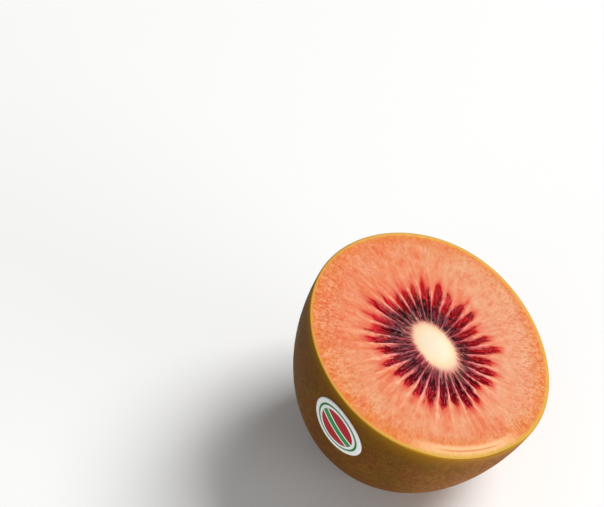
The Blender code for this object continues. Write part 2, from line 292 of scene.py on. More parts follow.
strayed = node(MATH, node(MATH, strayed, calm, **TIMES), core_share, **TIMES)
angle = node(MATH, node(MATH, step, strayed, operation="ADD"), math.tau / STEPS, **TIMES)

across = node(MATH, node(MATH, within, 2.0, -1.0, operation="MULTIPLY_ADD"), operation="ABSOLUTE")
along = node(MATH, share, chamber_reach, operation="DIVIDE")
sunk = node(RANGE, along, 0.0, CHAMBER_MOUTH, 0.0, 1.0, **SMOOTH)
risen = node(RANGE, along, 1 - CHAMBER_TIP, 1.0, 1.0, 0.0, **SMOOTH)
cubed = node(MATH, along, 3.0, operation="POWER", use_clamp=True)
narrow = node(MATH, cubed, -TIP_NARROWING, 1.0, operation="MULTIPLY_ADD")
floor_width = node(MATH, narrow, given["Chamber Width"], **TIMES)
flank_edge = node(MIX, CHAMBER_FLANK, floor_width, 1.0)
flank = node(RANGE, across, floor_width, flank_edge, 1.0, 0.0, **SMOOTH)
sunk = node(MATH, node(MATH, sunk, risen, **TIMES), flank, **TIMES)

flat_place = node(GROUP, angle, core_share, share, node_tree=face_rule)
pulp_lumps = node(NOISE, {"Vector": flat_place, "Scale": 1 / LUMP_SIZE, "Detail": 2.0})
flesh_waves = node(NOISE, {"Vector": flat_place, "Scale": 1 / WAVE_SIZE, "Detail": 1.0})
lumps = node(RANGE, pulp_lumps, 0.3, 0.7, -LUMP_HEIGHT, LUMP_HEIGHT)
waves = node(RANGE, flesh_waves, 0.3, 0.7, -WAVE_HEIGHT, WAVE_HEIGHT)
dip = node(MATH, lumps, given["Chamber Depth"], operation="SUBTRACT")
crown = node(RANGE, core_share, 0.0, 1.0, given["Core Rise"], 0.0, **SMOOTH)
height = node(MATH, dip, sunk, node(MATH, crown, waves, operation="ADD"), operation="MULTIPLY_ADD")
from_lip = node(MATH, plain_angle, LIP_SIDE, operation="SUBTRACT")
from_lip = node(MATH, node(MATH, from_lip, operation="ABSOLUTE"), LIP_SPREAD, operation="DIVIDE")
lip_side = node(RANGE, from_lip, 1.0, 0.25, 0.0, 1.0, **SMOOTH)
lip = node(RANGE, share, LIP_SHARE, 1.0, 0.0, -LIP_DROP, **SMOOTH)
from_crease = node(MATH, node(MATH, share, CREASE_SHARE, operation="SUBTRACT"), operation="ABSOLUTE")
crease = node(RANGE, from_crease, 0.0, CREASE_HALF_WIDTH, -CREASE_DEPTH, 0.0, **SMOOTH)
crease = node(MATH, crease, node(RANGE, from_lip, 0.60, 0.20, 0.0, 1.0), **TIMES)
height = node(MATH, height, node(RANGE, share, RELIEF_END, 1.0, 1.0, 0.0), **TIMES)
height = node(MATH, node(MATH, lip, crease, operation="ADD"), lip_side, height, operation="MULTIPLY_ADD")
cut_face = node(VECTOR, flat_place, node(COMBINE, 0.0, 0.0, height), operation="ADD")

# Over the rounded edge, and down the skin by the rule of an oval with fuller shoulders.
over_edge = node(MATH, edge_share, math.pi / 2, **TIMES)
edge_out = node(MATH, over_edge, operation="SINE")
edge_radius = node(MATH, node(MATH, edge_out, 1.0, operation="SUBTRACT"), given["Edge Round"],
                   given["Long Radius"], operation="MULTIPLY_ADD")
edge_down = node(MATH, node(MATH, over_edge, operation="COSINE"), 1.0, operation="SUBTRACT")
edge_height = node(MATH, edge_down, given["Edge Round"], **TIMES)

power = node(MATH, 2.0, given["Fullness"], operation="DIVIDE")
start_depth = node(MATH, given["Edge Round"], given["Half Depth"], operation="DIVIDE")
start = node(MATH, start_depth, node(MATH, 1.0, power, operation="DIVIDE"), operation="POWER")
start = node(MATH, start, operation="ARCSINE")
left = node(MATH, node(MATH, 1.0, skin_share, operation="SUBTRACT"), END_CROWDING, operation="POWER")
lowered = node(MIX, left, math.pi / 2, start)
inward = node(MATH, node(MATH, lowered, operation="COSINE"), 0.0, operation="MAXIMUM")
plain_radius = node(MATH, node(MATH, inward, power, operation="POWER"), given["Long Radius"], **TIMES)
deepened = node(MATH, node(MATH, lowered, operation="SINE"), power, operation="POWER")
plain_depth = node(MATH, deepened, given["Half Depth"], **TIMES)
dimple = node(RANGE, plain_radius, 0.0, DIMPLE_RADIUS, DIMPLE_DEPTH, 0.0, **SMOOTH)
nub = node(RANGE, plain_radius, 0.0, NUB_RADIUS, -NUB_HEIGHT, 0.0, **SMOOTH)
skin_height = node(MATH, node(MATH, dimple, nub, operation="ADD"), plain_depth, operation="SUBTRACT")

on_skin = node(MATH, edge_share, PAST_EDGE, operation="GREATER_THAN")
radius = node(MIX, on_skin, edge_radius, plain_radius)
edge_drop = node(MATH, node(MATH, 1.0, edge_share, operation="SUBTRACT"), lip_side, **TIMES)
edge_height = node(MATH, edge_drop, -LIP_DROP, edge_height, operation="MULTIPLY_ADD")
down = node(MIX, on_skin, edge_height, skin_height)
outside = node(GROUP, angle, radius, down, node_tree=section_rule)
past_rim = node(MATH, edge_share, 0.0, operation="GREATER_THAN")
wrapping = node(MIX, past_rim, cut_face, outside, data_type="VECTOR")

marked = grid
for label, field in (("way_out", way_out), ("across", across), ("along", along), ("tone", chamber_tone)):
    marked = node("GeometryNodeStoreNamedAttribute", {"Geometry": marked, "Name": label, "Value": field})
wrapped = node("GeometryNodeSetPosition", {"Geometry": marked, "Position": wrapping})
welded = node("GeometryNodeMergeByDistance", {"Geometry": wrapped, "Distance": WELD})
outward = node("GeometryNodeFlipFaces", welded)
smooth = node("GeometryNodeSetShadeSmooth", {"Geometry": outward})
realized = node("GeometryNodeRealizeInstances", smooth)
fleshed = node("GeometryNodeSetMaterial", {"Geometry": realized, "Material": given["Flesh"]})
is_skin = node("FunctionNodeCompare", node(NAMED, "way_out"), 1.0, operation="GREATER_THAN")
node("NodeGroupOutput", {"Result": node("GeometryNodeSetMaterial", {
    "Geometry": fleshed, "Selection": is_skin, "Material": given["Skin"],
})})

draw = random.Random(DRAWS)
wall_strays = [draw.uniform(-WALL_WANDER, WALL_WANDER) for _ in range(CHAMBERS)]
chamber_reaches = [draw.uniform(*CHAMBER_REACH) for _ in range(CHAMBERS)]
tones = random.Random(TONE_DRAWS)
chamber_tones = [tones.random() for _ in range(CHAMBERS)]
for index in range(CHAMBERS):
    middle = (index + 0.5) * math.tau / CHAMBERS
    to_short = min(max(2 * math.cos(middle - SHORT_SIDE) - 0.9, 0), 1)    # gone 63 degrees from that side
    to_even = max(math.cos(middle - EVEN_SIDE), 0) ** 4
    shortened = 1 + SHORTENED * to_short + EVENED * to_even
    shortened *= TONE_SHORTENS[0] + TONE_SHORTENS[1] * chamber_tones[index]
    chamber_reaches[index] /= shortened
chamber_marks = marked_points("chamber_marks", [(0, 0, 0)] * CHAMBERS, {
    "stray": wall_strays,
    "reach": chamber_reaches,
    "tone": chamber_tones,
})
body = grow("kiwi_half_fruit", chamber_marks, body_rule, {"Flesh": flesh, "Skin": skin})

# The way the half stands: leaning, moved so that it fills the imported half's box, and flat where it rests.
turn = (Matrix.Rotation(LEAN, 3, "Y") @ Matrix.Rotation(OVAL_TURN, 3, "Z")).to_4x4()
body.data.transform(turn)
highest = Vector([max(vertex.co[i] for vertex in body.data.vertices) for i in range(3)])
shift = Vector(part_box("kiwi_half")[1]) - highest
stands = Matrix.Translation(shift) @ turn
body.data.transform(Matrix.Translation(shift))
for vertex in body.data.vertices:
    vertex.co.z = max(vertex.co.z, 0)
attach(body, "root")
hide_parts("kiwi_half")

# Wet cut flesh, straight from the knife: soft and see-through at its surface, so light goes in a little way,
# and juicy, so it shines. The chambers hold wine-red pulp, the walls between them are pale, and the core is
# cream.
MM = 1000                        # patterns are in millimetres, so a Scale of 1 / 4.5 gives patches of 4.5 mm
THICK_SIDE = math.radians(-120)  # the side with the widest yellow line under the skin
CLEAR_SIDE = math.radians(-20)   # the side with the clearest yellow line
PALE_SIDE = math.radians(-60)    # the sides with the palest and the reddest outer flesh
RED_SIDE = math.radians(72)
FILMY_SIDE = math.radians(70)    # the side whose seeds lie under a greyish film
GREY_POWER = 0.4545              # turns a ramp's linear greys back to the shares that its hex colours give


def start_material(material, location=(0, 0, 0), rotation=(0, 0, 0)):
    """Empties a material, and returns the function that adds its nodes, and a place in millimetres."""
    material.use_nodes = True
    material.node_tree.nodes.clear()
    node = partial(add_node, material.node_tree)
    object_place = node("ShaderNodeTexCoord", out="Object")
    return node, node("ShaderNodeMapping", {
        "Vector": object_place, "Location": location, "Rotation": rotation, "Scale": (MM, MM, MM),
    })


def towards(side, start, full):
    """How far a place lies round the core to one side: 0 until the start cosine, and 1 from the full one."""
    way = node(VECTOR, direction, (math.cos(side), math.sin(side), 0), operation="DOT_PRODUCT")
    return node(RANGE, way, start, full, 0.0, 1.0, **SMOOTH)


def radial_place(round_core, a_millimetre):
    """A place for patterns that run outwards, by their grains all round the core and along a millimetre."""
    depth = node(COMBINE, 0.0, 0.0, node(MATH, distance, a_millimetre, **TIMES))
    return node(VECTOR, direction, (round_core / math.tau,) * 3, depth, operation="MULTIPLY_ADD")


back = stands.inverted()
node, own = start_material(flesh, (back.translation - CORE_CENTRE) * MM, back.to_euler("XYZ"))
flat = node(VECTOR, own, (1, 1, 0), **TIMES)
distance = node(VECTOR, flat, operation="LENGTH")
direction = node(VECTOR, flat, operation="NORMALIZE")
way_out, across, plain_along, tone = [
    node("ShaderNodeAttribute", attribute_name=label, out="Fac")
    for label in ("way_out", "across", "along", "tone")
]
other_tone = node(MATH, node(MATH, tone, 7.3, **TIMES), operation="FRACT")
ripe = towards(RIPE_SIDE, -0.35, 0.6)

# Real fibres and juice cells are about 0.1 mm wide, too fine to show, so the finest here are 0.3 to 0.4 mm.
fibres = node(NOISE, {"Vector": radial_place(75, 0.20), "Scale": 1.0, "Detail": 2.0})
streaks = node(NOISE, {"Vector": radial_place(125, 0.28), "Scale": 1.0, "Detail": 2.0})
feathers = node(NOISE, {"Vector": radial_place(150, 0.4), "Scale": 1.0, "Detail": 1.0})
strokes = node(NOISE, {"Vector": radial_place(260, 1.1), "Scale": 1.0, "Detail": 2.0})
drops = node(NOISE, {"Vector": radial_place(190, 1.3), "Scale": 1.0, "Detail": 1.0})
patches = node(NOISE, {"Vector": own, "Scale": 1 / 4.5, "Detail": 2.0})
blotches = node(NOISE, {"Vector": own, "Scale": 1 / 1.7, "Detail": 2.0})
clots = node(NOISE, {"Vector": own, "Scale": 1 / 1.3, "Detail": 1.0})
grains = node(NOISE, {"Vector": own, "Scale": 1 / 0.42, "Detail": 2.0})

# Outer flesh: salmon by the chambers, and peach and orange further out, with redder and paler patches, sides
# and blotches. A warm band lies by the rim, and coarse juice cells are strewn over it.
plain = node(RAMP, way_out, stops=(
    (0.35, "c9614e"), (0.46, "cf7356"), (0.56, "d2855f"), (0.72, "d18962"), (0.90, "cf8450"), (1.0, "cd7b3e"),
))
thick = towards(THICK_SIDE, -0.3, 0.75)
uneven = node(MATH, node(RANGE, blotches, 0.3, 0.7, -0.008, 0.008), way_out, operation="ADD")
uneven = node(MATH, node(RANGE, strokes, 0.3, 0.7, -0.012, 0.012), uneven, operation="ADD")
for shown, colour in (
    (node(RANGE, patches, 0.46, 0.66, 0.0, 0.70, **SMOOTH), "cd613a"),
    (node(RANGE, patches, 0.46, 0.32, 0.0, 0.60, **SMOOTH), "d6a481"),
    (node(MATH, towards(PALE_SIDE, 0.1, 1.0), 0.45, **TIMES), "d4a080"),
    (node(MATH, towards(RED_SIDE, 0.3, 1.0), 0.45, **TIMES), "d56944"),
    (node(RANGE, blotches, 0.50, 0.68, 0.0, 0.30, **SMOOTH), "d16742"),
    (node(RANGE, blotches, 0.45, 0.30, 0.0, 0.25, **SMOOTH), "dea883"),
    (node(RANGE, uneven, node(MIX, thick, 0.90, 0.76), 0.965, 0.0, 0.85, **SMOOTH), "d07636"),
):
    plain = node(MIX, shown, plain, colour, data_type="RGBA")
near_rim = node(RANGE, way_out, 0.50, 0.92, 0.25, 1.0, **SMOOTH)
endways = node(VECTOR, direction, (math.cos(SHORT_SIDE), math.sin(SHORT_SIDE), 0), operation="DOT_PRODUCT")
endways = node(MATH, endways, endways, **TIMES)
grainy = node(MATH, near_rim, node(MATH, endways, 0.7, 0.5, operation="MULTIPLY_ADD"), **TIMES)
for pattern, low, high, strength, colour in (
    (grains, 0.53, 0.60, 0.34, "c75227"),
    (strokes, 0.55, 0.61, 0.46, "c34e25"),
    (grains, 0.44, 0.36, 0.22, "e2af88"),
    (strokes, 0.44, 0.38, 0.26, "e2af88"),
):
    shown = node(MATH, node(RANGE, pattern, low, high, 0.0, strength), grainy, **TIMES)
    plain = node(MIX, shown, plain, colour, data_type="RGBA")
lined = node(MATH, node(RANGE, streaks, 0.40, 0.56, 0.34, 0.0), node(RANGE, way_out, 0.80, 0.55, 0.4, 1.0),
             **TIMES)
plain = node(MIX, lined, plain, "e0a785", data_type="RGBA")

# The pressed lip is painted paler as a highlight, and its crease is painted shade, a thin deep line. A yellow
# line closes the flesh under the skin. It is wider on the thick side and along the lip, and clearest on the
# far side.
lip_side = towards(LIP_SIDE, math.cos(LIP_SPREAD), math.cos(LIP_SPREAD / 3))
# Painted highlight: the pressed lip is painted pale cream where it would catch the light.
painted_lip_highlight = node(RANGE, way_out, LIP_SHARE - 0.04, LIP_SHARE + 0.02, 0.0, 0.85, **SMOOTH)
painted_lip_highlight = node(MATH, painted_lip_highlight, lip_side, **TIMES)
# Painted shade: a thin deep line along the lip's crease.
off_crease = node(MATH, node(MATH, way_out, CREASE_SHARE, operation="SUBTRACT"), operation="ABSOLUTE")
crease = node(MATH, node(RANGE, off_crease, 0.014, 0.002, 0.0, 0.65), towards(LIP_SIDE, 0.94, 0.985), **TIMES)
clear = towards(CLEAR_SIDE, -0.1, 0.6)
yellow_start = node(MIX, thick, 0.986, 0.958)
yellow_start = node(MIX, lip_side, yellow_start, 0.922)
yellow_start = node(MIX, clear, yellow_start, 0.955)
yellow = node(RANGE, uneven, yellow_start, 0.996, 0.0, 1.0, **SMOOTH)
rim_yellow = node(MIX, thick, "c98f3c", "c69c44", data_type="RGBA")
rim_yellow = node(MIX, clear, rim_yellow, "cda04a", data_type="RGBA")
for shown, colour in ((painted_lip_highlight, "e7b586"), (crease, "bb6932"), (yellow, rim_yellow)):
    plain = node(MIX, shown, plain, colour, data_type="RGBA")

# Chambers: how far out a place lies in its own, and how near its wall. Both are ragged, as pulp tears.
spike_size = node(MIX, ripe, 0.16, 0.11)
spikes = node(MATH, node(RANGE, fibres, 0.3, 0.7, -1.0, 1.0), spike_size, **TIMES)
along = node(MATH, plain_along, spikes, operation="ADD")
wobble = node(MATH, node(RANGE, streaks, 0.3, 0.7, -0.13, 0.13), node(RANGE, clots, 0.3, 0.7, -0.06, 0.06),
              operation="ADD")
wobble = node(MATH, node(RANGE, strokes, 0.3, 0.7, -0.12, 0.12), wobble, operation="ADD")
wall_place = node(MATH, across, wobble, operation="ADD")

# Between the chambers the flesh is red, and pale on the ripe side. Red juice bleeds past the tips, and the
# walls are fine paler lines.
pale_between = node(RAMP, along, stops=(
    (0.0, "bb6167"), (0.15, "b14856"), (0.4, "c75b65"), (0.7, "cf6f63"), (1.0, "d37d5b"),
))
red_between = node(RAMP, along, stops=(
    (0.0, "b3655a"), (0.12, "944044"), (0.3, "a04044"), (0.5, "c65e58"), (0.7, "d06c5c"), (0.9, "d3745a"),
    (1.1, "d47a5a"),
))
between = node(MIX, ripe, red_between, pale_between, data_type="RGBA")
zone = node(RANGE, along, 1.22, 0.86, 0.0, 1.0, **SMOOTH)
bleed = node(RANGE, along, 1.26, 0.92, 0.0, node(MIX, ripe, 0.70, 0.72), **SMOOTH)
bleed_across = node(RANGE, wall_place, 0.85, 0.25, 0.0, 1.0, **SMOOTH)
bleed = node(MATH, bleed, bleed_across, **TIMES)
wall = node(RANGE, wall_place, node(MIX, ripe, 0.86, 0.78), 1.0, 0.0, 1.0, **SMOOTH)
wall_end = node(RANGE, plain_along, 0.65, node(MIX, ripe, 1.25, 1.95), 1.0, 0.0, **SMOOTH)
wall_strength = node(MIX, ripe, node(RANGE, along, 0.30, 0.70, 0.30, 0.80), 0.90)
wall_colour = node(RAMP, along, stops=((0.1, "cf7781"), (0.4, "de858a"), (0.7, "e4968a"), (1.0, "e6aa88")))
walling = node(MATH, node(MATH, wall, wall_end, **TIMES), wall_strength, **TIMES)
walling = node(MATH, walling, node(RANGE, clots, 0.36, 0.60, 0.60, 1.12), **TIMES)
walled = plain
for shown, colour in ((zone, between), (bleed, "cb3a30"), (walling, wall_colour)):
    walled = node(MIX, shown, walled, colour, data_type="RGBA")

# Pulp: a boat of wine-red in each chamber, nearly black by the core, and redder at the tip and on the less
# ripe side. Its edge is dark, and it is torn and feathered with bright red. The glints of its wet drops are
# painted highlights.
full_width = node(RAMP, along, stops=(
    (0.0, "989898"), (0.2, "b0b0b0"), (0.5, "bcbcbc"), (0.8, "b4b4b4"), (0.93, "8c8c8c"), (1.06, "000000"),
))
lean_width = node(RAMP, along, stops=(
    (0.0, "e0e0e0"), (0.2, "dcdcdc"), (0.45, "c0c0c0"), (0.7, "a8a8a8"), (0.90, "8c8c8c"), (1.04, "000000"),
))
width = node("ShaderNodeSeparateColor", node(MIX, ripe, lean_width, full_width, data_type="RGBA"), out="Red")
width = node(MATH, width, GREY_POWER, operation="POWER")
plumpness = node(RANGE, other_tone, 0.0, 1.0, 0.84, 1.12)
swollen = node(MATH, plumpness, width, **TIMES)
inside = node(MATH, swollen, wall_place, operation="SUBTRACT")
softness = node(RANGE, along, 0.50, 1.0, 0.09, 0.26)
hardly_in = node(MATH, softness, -1.0, **TIMES)
in_chamber = node(RANGE, inside, hardly_in, softness, 0.0, 1.0, **SMOOTH)
in_chamber = node(MATH, in_chamber, node(RANGE, along, 0.90, 1.12, 1.0, 0.0), **TIMES)
in_chamber = node(MATH, in_chamber, node(RANGE, way_out, -0.15, 0.03, 0.0, 1.0), **TIMES)
pulp_along = node(MATH, node(RANGE, grains, 0.3, 0.7, -0.06, 0.06), along, operation="ADD")
ripe_pulp = node(RAMP, pulp_along, stops=(
    (0.0, "9c4246"), (0.1, "751b27"), (0.25, "580410"), (0.6, "630410"), (0.82, "830813"), (0.92, "a8151b"),
    (1.04, "c32f25"),
))
red_pulp = node(RAMP, pulp_along, stops=(
    (0.0, "af695d"), (0.08, "814648"), (0.2, "581018"), (0.38, "70050d"), (0.55, "88050b"), (0.8, "a4080e"),
    (0.92, "b21313"), (1.04, "c63024"),
))
dark_edge = node(MATH, node(RANGE, inside, 0.38, 0.05, 0.0, 0.70), ripe, **TIMES)
dark_edge = node(MATH, dark_edge, node(RANGE, along, 0.95, 0.75, 0.0, 1.0), **TIMES)
torn = node(MATH, node(RANGE, streaks, 0.45, 0.53, 0.0, 0.72), node(MIX, ripe, 0.9, 0.35), **TIMES)
bright = node(MATH, node(RANGE, feathers, 0.52, 0.60, 0.0, 0.72), node(RANGE, along, 0.30, 0.75, 0.0, 1.0),
              **TIMES)
# Painted highlights: small pink glints on the pulp, where wet drops would catch the light.
painted_glints = node(MATH, node(RANGE, drops, 0.64, 0.72, 0.0, 0.60), node(RANGE, inside, 0.10, 0.40, 0.0, 1.0),
              **TIMES)
painted_glints = node(MATH, painted_glints, node(MIX, ripe, 0.45, 1.0), **TIMES)
pulp = node(MIX, ripe, red_pulp, ripe_pulp, data_type="RGBA")
for shown, colour in ((dark_edge, "3a0009"), (torn, "4e030b"), (bright, "c3252f"), (painted_glints, "cb7581")):
    pulp = node(MIX, shown, pulp, colour, data_type="RGBA")
seen = node(MIX, in_chamber, walled, pulp, data_type="RGBA")

# Round the core, dark and pinkish fibres run over walls and pulp alike. On one side a greyish film lies over
# them and the seeds, with a few paler places painted on as highlights.
short = towards(SHORT_SIDE, -0.2, 0.8)
by_core = node(RANGE, along, node(MIX, short, 0.56, 0.44), node(MIX, short, 0.26, 0.16), 0.0, 1.0)
smudges = node(NOISE, {"Vector": radial_place(62, 0.55), "Scale": 1.0, "Detail": 2.0})
smudges = node(MATH, towards(RED_SIDE, -0.3, 0.7), 0.06, smudges, operation="MULTIPLY_ADD")
dark_spots = node(MATH, node(RANGE, smudges, 0.46, 0.58, 0.0, 0.85), node(RANGE, along, 0.04, 0.14, 0.0, 1.0),
                  **TIMES)
black = node(MATH, node(RANGE, streaks, 0.51, 0.59, 0.0, 0.72), dark_spots, operation="MAXIMUM")
black = node(MATH, black, by_core, **TIMES)
pink = node(MATH, node(RANGE, feathers, 0.53, 0.61, 0.0, 0.74), by_core, **TIMES)
films = node(NOISE, {"Vector": radial_place(84, 0.9), "Scale": 1.0, "Detail": 2.0})
in_ring = node(MATH, node(RANGE, along, 0.08, 0.20, 0.0, 1.0), node(RANGE, along, 0.62, 0.34, 0.0, 1.0),
               **TIMES)
in_ring = node(MATH, in_ring, towards(FILMY_SIDE, -0.2, 0.7), **TIMES)
filmed = node(MATH, node(RANGE, films, 0.50, 0.60, 0.0, 0.62), in_ring, **TIMES)
# Painted highlights: paler places on the film, where it would catch the light.
painted_film_highlights = node(MATH, node(RANGE, films, 0.64, 0.70, 0.0, 0.60), in_ring, **TIMES)

# Core: firm cream flesh whose edge frays into fine fibres, furthest at its two ends.
frayed = node(MATH, node(RANGE, feathers, 0.3, 0.7, -0.08, 0.08), way_out, operation="ADD")
endmost = node(VECTOR, direction, (math.cos(CORE_TURN), math.sin(CORE_TURN), 0), operation="DOT_PRODUCT")
endmost = node(MATH, endmost, endmost, **TIMES)
frayed = node(MATH, endmost, -0.13, node(MATH, frayed, 0.06, operation="ADD"), operation="MULTIPLY_ADD")
in_core = node(RANGE, frayed, -0.16, 0.07, 1.0, 0.0, **SMOOTH)
core_colour = node(RAMP, node(MATH, way_out, 1.0, operation="ADD"), stops=(
    (0.0, "e3d4bd"), (0.55, "e2d0b3"), (0.8, "dec39e"), (1.0, "d39c86"),
))
for shown, colour in (
    (black, "1b0f13"), (pink, "b3505a"), (filmed, "5b4049"), (painted_film_highlights, "96747a"), (in_core, core_colour),
):
    seen = node(MIX, shown, seen, colour, data_type="RGBA")

pulp_height = node(MATH, node(MATH, in_chamber, 0.35, **TIMES), node(MATH, streaks, drops, operation="ADD"),
                   **TIMES)
grain_height = node(MATH, grains, node(MATH, near_rim, 0.6, **TIMES), **TIMES)
core_height = node(MATH, feathers, node(RANGE, way_out, -0.25, 0.05, 0.0, 0.25), **TIMES)
heights = node(MATH, node(MATH, pulp_height, grain_height, operation="ADD"), core_height, operation="ADD")
relief = node("ShaderNodeBump", {"Strength": 0.6, "Distance": 0.00010, "Height": heights})
node("ShaderNodeOutputMaterial", {"Surface": node("ShaderNodeBsdfPrincipled", {
    "Base Color": seen,
    "Roughness": node(RANGE, in_chamber, 0.0, 1.0, 0.42, 0.32),
    "IOR": 1.36,
    "Specular IOR Level": 0.05,
    "Subsurface Weight": 0.15,
    "Subsurface Radius": (1.0, 0.40, 0.25),
    "Subsurface Scale": 0.0004,
    "Normal": relief,
})})

# The skin is thin, dry and nearly smooth, as the fuzz of a red kiwi rubs off: olive with brown clouds and
# fine specks. It thins to a yellow edge at the cut, and turns dark and woody round the blossom end. Its pores
# are under 0.1 mm wide, too fine to show, so the finest grain is drawn 0.25 mm wide.
node, own = start_material(skin, back.translation * MM, back.to_euler("XYZ"))
below_cut = node(MATH, node(SEPARATE, own, out="Z"), -1.0, **TIMES)
flat = node(VECTOR, own, (1, 1, 0), **TIMES)
direction = node(VECTOR, flat, operation="NORMALIZE")
off_axis = node(VECTOR, flat, operation="LENGTH")
clouds = node(NOISE, {"Vector": own, "Scale": 1 / 7, "Detail": 3.0})
patches = node(NOISE, {"Vector": own, "Scale": 1 / 2.4, "Detail": 2.0})
mottle = node(NOISE, {"Vector": own, "Scale": 1 / 0.9, "Detail": 3.0})
specks = node("ShaderNodeTexVoronoi", {"Vector": own, "Scale": 1 / 0.7})
fine = node(NOISE, {"Vector": own, "Scale": 1 / 0.25, "Detail": 2.0})
# Painted light and the skin's own blush: the side towards the thick yellow line is painted lighter and
# redder.
blush_and_painted_light = node(MATH, towards(THICK_SIDE, 0.55, 1.0), 0.75, **TIMES)
coloured = node(RAMP, clouds, stops=((0.30, "6b400b"), (0.5, "754a0d"), (0.70, "7d5615")))
for shown, colour in (
    (blush_and_painted_light, "a66934"),
    (node(RANGE, patches, 0.50, 0.66, 0.0, 0.55), "7a4420"),
    (node(RANGE, patches, 0.48, 0.34, 0.0, 0.45), "6a5616"),
    (node(RANGE, mottle, 0.42, 0.66, 0.0, 0.50), "582f06"),
    (node(RANGE, fine, 0.50, 0.64, 0.0, 0.35), "4a2b08"),
    (node(RANGE, specks, 0.22, 0.10, 0.0, 0.55), "9c733a"),
):
    coloured = node(MIX, shown, coloured, colour, data_type="RGBA")
edge_width = node(MIX, towards(THICK_SIDE, 0.0, 0.9), 0.35, 0.8)
rim_place = node(MATH, node(MATH, below_cut, edge_width, operation="DIVIDE"), 0.2, **TIMES)
by_rim = node(RAMP, rim_place, stops=(
    (0.0, "cb963e"), (0.03, "ac7f26"), (0.07, "98690c"), (0.3, "8c5f05"), (1.0, "794e08"),
))
# Painted light and blush under the rim too: a lighter, redder brown on that side.
rim_blush_and_painted_light = node(MATH, blush_and_painted_light, node(RANGE, below_cut, 0.15, 0.5, 0.0, 1.0), **TIMES)
by_rim = node(MIX, rim_blush_and_painted_light, by_rim, "a06c34", data_type="RGBA")
close = node(RANGE, below_cut, 0.5, node(MIX, blush_and_painted_light, 5.0, 2.0), 1.0, 0.0)
far_end = node(RANGE, below_cut, (HALF_DEPTH - 0.006) * MM, (HALF_DEPTH - 0.002) * MM, 0.0, 1.0)
woody = node(MATH, node(RANGE, off_axis, 5.0, 1.8, 0.0, 0.85, **SMOOTH), far_end, **TIMES)
for shown, colour in ((close, by_rim), (woody, "38230f")):
    coloured = node(MIX, shown, coloured, colour, data_type="RGBA")
bumps = node(MATH, node(MATH, fine, 0.4, **TIMES), mottle, operation="ADD")
relief = node("ShaderNodeBump", {"Strength": 0.7, "Distance": 0.00012, "Height": bumps})
node("ShaderNodeOutputMaterial", {"Surface": node("ShaderNodeBsdfPrincipled", {
    "Base Color": coloured,
    "Roughness": 0.66,
    "IOR": 1.45,
    "Specular IOR Level": 0.08,
    "Normal": relief,
})})

# The seeds are hard, dark, flattened drops two millimetres long. They grow in a ring round the core, two to a
# chamber with their points to the core, sunk nearly whole in the pulp, and deepest on the ripe side.
SEED_SIZE = Vector((0.0022, 0.0011, 0.0010))
SEED_POINT = 0.42                # how slim the pointed end is
SEED_REACHES = (0.065, 0.19)     # the shares at which a chamber's two seeds lie
SEED_STAGGER = 0.065             # how much further out they lie in every other chamber
SEED_WANDER = 0.012
SEED_TURN = math.radians(14)
SEED_DIP = math.radians(4)
SEED_ROLL = 0.5
SEED_SINK = (0.00042, 0.00060)
SEED_MARKS = ("angle", "share", "turn", "dip", "roll", "sink")
OUTWARD_STEP = 0.012             # how much further out lies the place that a seed's blunt end looks to
coat = bpy.data.materials.new("glossy_seed_coat")
seed_rule, node, given = new_rule("seeds_in_chambers", {
    "Seed Marks": None, "Size": SEED_SIZE, "Point": SEED_POINT, "Depth": CHAMBER_DEPTH, "Seed Coat": coat,
})
ball = node("GeometryNodeMeshUVSphere", 14, 9, 0.5)
place = node("GeometryNodeInputPosition")
seed_length = node(SEPARATE, place, out="Z")
taper = node(RANGE, seed_length, -0.5, 0.12, given["Point"], 1.0, interpolation_type="SMOOTHERSTEP")
seed_width = node(MATH, node(SEPARATE, place, out="X"), taper, **TIMES)
seed_thickness = node(MATH, node(SEPARATE, place, out="Y"), taper, **TIMES)
drop = node(VECTOR, node(COMBINE, seed_length, seed_width, seed_thickness), given["Size"], **TIMES)
shaped = node("GeometryNodeSetPosition", {"Geometry": ball, "Position": drop})
shaped = node("GeometryNodeSetShadeSmooth", {"Geometry": shaped})
marks = {label: node(NAMED, label) for label in SEED_MARKS}
seat = node(GROUP, marks["angle"], 1.0, marks["share"], node_tree=face_rule)
further_out = node(MATH, marks["share"], OUTWARD_STEP, operation="ADD")
further = node(GROUP, marks["angle"], 1.0, further_out, node_tree=face_rule)
lowered = node(MATH, node(MATH, given["Depth"], marks["sink"], operation="ADD"), -1.0, **TIMES)
seat_place = node(VECTOR, seat, node(COMBINE, 0.0, 0.0, lowered), operation="ADD")
seated = node("GeometryNodeSetPosition", {"Geometry": given["Seed Marks"], "Position": seat_place})
outwards = node("FunctionNodeAlignRotationToVector",
                {"Vector": node(VECTOR, further, seat, operation="SUBTRACT")}, axis="X")
strays = node("FunctionNodeEulerToRotation", node(COMBINE, marks["roll"], marks["dip"], marks["turn"]))
lie = node("FunctionNodeRotateRotation", outwards, strays, rotation_space="LOCAL")
sown = node("GeometryNodeInstanceOnPoints", {"Points": seated, "Instance": shaped, "Rotation": lie})
realized = node("GeometryNodeRealizeInstances", sown)
node("NodeGroupOutput", {"Result": node("GeometryNodeSetMaterial", {
    "Geometry": realized, "Material": given["Seed Coat"],
})})

